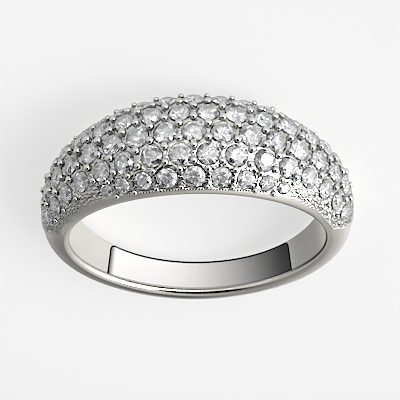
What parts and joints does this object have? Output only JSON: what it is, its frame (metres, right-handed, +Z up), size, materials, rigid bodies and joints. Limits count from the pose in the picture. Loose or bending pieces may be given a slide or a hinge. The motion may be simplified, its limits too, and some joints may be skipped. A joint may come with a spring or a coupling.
{
  "type": "pave ring",
  "caption": "Domed white metal finger ring with staggered rows of round cut stones set flush over its upper half, tapering to a plain shank.",
  "frame": {"origin": "middle of the ring's bounding box, on the surface that it lies on", "axes": "+Z up from the surface, -Y towards the middle of the stone-set dome, X across the ring from shoulder to shoulder"},
  "size_m": [0.0208, 0.021, 0.0072],
  "materials": {
    "white_gold": "polished, satin on the flanks",
    "clear_stone": "faceted, polished"
  },
  "bodies": {
    "root": {"band": "white_gold", "pave_stones": "clear_stone"}
  },
  "joints": []
}
